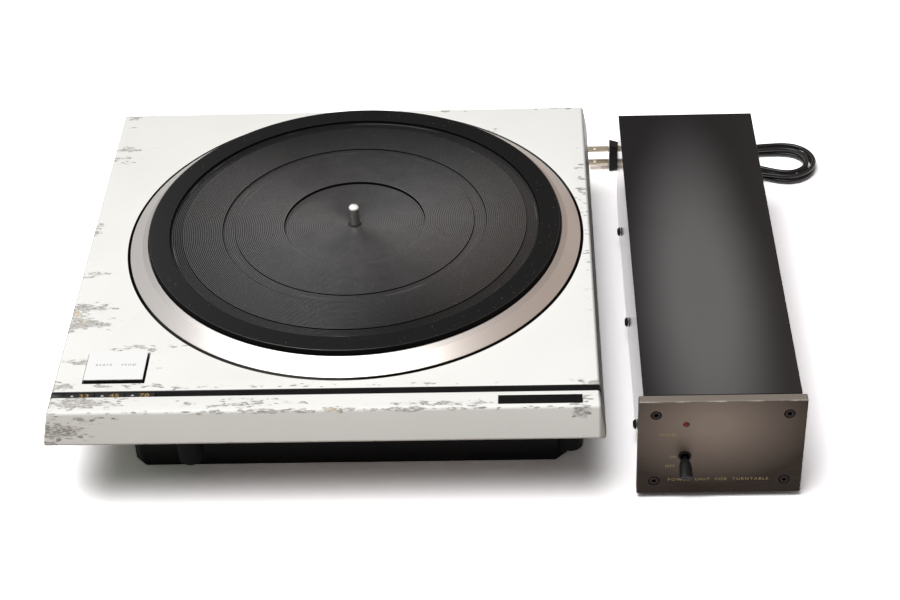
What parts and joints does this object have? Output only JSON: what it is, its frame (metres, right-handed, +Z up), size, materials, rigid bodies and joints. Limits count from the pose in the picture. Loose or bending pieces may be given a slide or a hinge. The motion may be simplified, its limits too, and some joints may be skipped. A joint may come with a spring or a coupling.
{
  "type": "dj turntable",
  "caption": "Direct-drive turntable deck without a tone arm, with a flared frame, a bevelled platter and rubber mat, press controls, and a separate power unit with a mains lead.",
  "frame": {"origin": "middle of the floor under the deck and the power unit together, without the mains cord", "axes": "+X from the deck towards the power unit, +Y from the front to the back, +Z up"},
  "size_m": [0.5545, 0.4513, 0.1058],
  "materials": {
    "off_white_paint": "satin off-white paint, chipped at the edges",
    "turned_aluminium": "finely turned, matt clear coat",
    "cast_aluminium": "as cast",
    "bright_steel": "polished",
    "dull_steel": "plain steel",
    "brass": "plain brass",
    "copper_wire": "enamelled copper winding",
    "ferrite": "moulded ferrite",
    "mat_rubber": "finely ribbed black rubber",
    "black_rubber": "matt black rubber",
    "black_plastic": "matt black moulding",
    "black_paint": "semi-matt black",
    "dark_trim": "dark grey with amber and white markings",
    "grey_sheet": "semi-gloss dark grey",
    "brown_plate": "brown anodised, brushed, gold lettering",
    "red_lens": "clear red",
    "circuit_board": "green solder mask",
    "cord_black": "smooth black cord sheath"
  },
  "bodies": {
    "deck_and_power_unit": {"deck_frame": "off_white_paint", "control_strip": "dark_trim", "name_plate": "dark_trim", "control_board": "circuit_board", "start_button_spring": "dull_steel", "motor_base": "cast_aluminium", "bearing_housing": "brass", "thrust_cap": "dull_steel", "thrust_ball": "bright_steel", "stator_core": "dull_steel", "stator_coils": "copper_wire", "bottom_cover": "black_paint", "drive_board": "circuit_board", "post_sleeve_1": "black_rubber", "post_sleeve_2": "black_rubber", "post_sleeve_3": "black_rubber", "post_sleeve_4": "black_rubber", "deck_inlet": "black_plastic", "ground_terminal": "brass", "unit_chassis": "grey_sheet", "regulator_board": "circuit_board", "heat_sink": "cast_aluminium", "power_transistors": "dull_steel", "transformer_core": "dull_steel", "transformer_winding": "copper_wire", "unit_cover": "grey_sheet", "left_cover_screw_1": "black_paint", "left_cover_screw_2": "black_paint", "left_cover_screw_3": "black_paint", "right_cover_screw_1": "black_paint", "right_cover_screw_2": "black_paint", "right_cover_screw_3": "black_paint", "unit_front_plate": "brown_plate", "front_plate_screw_1": "black_paint", "front_plate_screw_2": "black_paint", "front_plate_screw_3": "black_paint", "front_plate_screw_4": "black_paint", "power_lamp": "red_lens", "toggle_switch": "black_plastic", "unit_outlet": "black_plastic", "fuse_holder": "black_plastic", "cord_grommet": "black_rubber", "mains_plug": "black_plastic", "lower_plug_blade": "brass", "upper_plug_blade": "brass", "cord_lead": "cord_black", "cord_hank": "cord_black", "cord_tail": "cord_black", "cord_tie": "black_plastic"},
    "platter": {"platter": "turned_aluminium", "platter_mat": "mat_rubber", "rotor_hub": "cast_aluminium", "rotor_magnet": "ferrite", "spindle": "bright_steel"},
    "start_button": {"start_button": "black_plastic", "start_button_cap": "bright_steel"},
    "speed_key_33": {"speed_key_33": "dark_trim"},
    "speed_key_45": {"speed_key_45": "dark_trim"},
    "speed_key_78": {"speed_key_78": "dark_trim"},
    "power_toggle": {"power_toggle": "black_plastic"}
  },
  "joints": [
    {"name": "platter_spin", "type": "hinge", "parent": "deck_and_power_unit", "child": "platter", "pos_m": [-0.0531, 0.02258, 0.08], "axis": [0, 0, 1], "continuous": true},
    {"name": "start_button_press", "type": "slide", "parent": "deck_and_power_unit", "child": "start_button", "axis": [0, 0, -1], "range_m": [0, 0.0015], "stiffness_N_per_m": 400, "springref_m": -0.001, "deforming": ["start_button_spring"]},
    {"name": "speed_33_press", "type": "slide", "parent": "deck_and_power_unit", "child": "speed_key_33", "axis": [0, 0, -1], "range_m": [0, 0.0008], "stiffness_N_per_m": 400, "springref_m": -0.0005},
    {"name": "speed_45_press", "type": "slide", "parent": "deck_and_power_unit", "child": "speed_key_45", "axis": [0, 0, -1], "range_m": [0, 0.0008], "stiffness_N_per_m": 400, "springref_m": -0.0005},
    {"name": "speed_78_press", "type": "slide", "parent": "deck_and_power_unit", "child": "speed_key_78", "axis": [0, 0, -1], "range_m": [0, 0.0008], "stiffness_N_per_m": 400, "springref_m": -0.0005},
    {"name": "power_toggle_throw", "type": "hinge", "parent": "deck_and_power_unit", "child": "power_toggle", "pos_m": [0.17095, -0.17003, 0.037], "axis": [-1, 0, 0], "range_deg": [0, 30]}
  ]
}
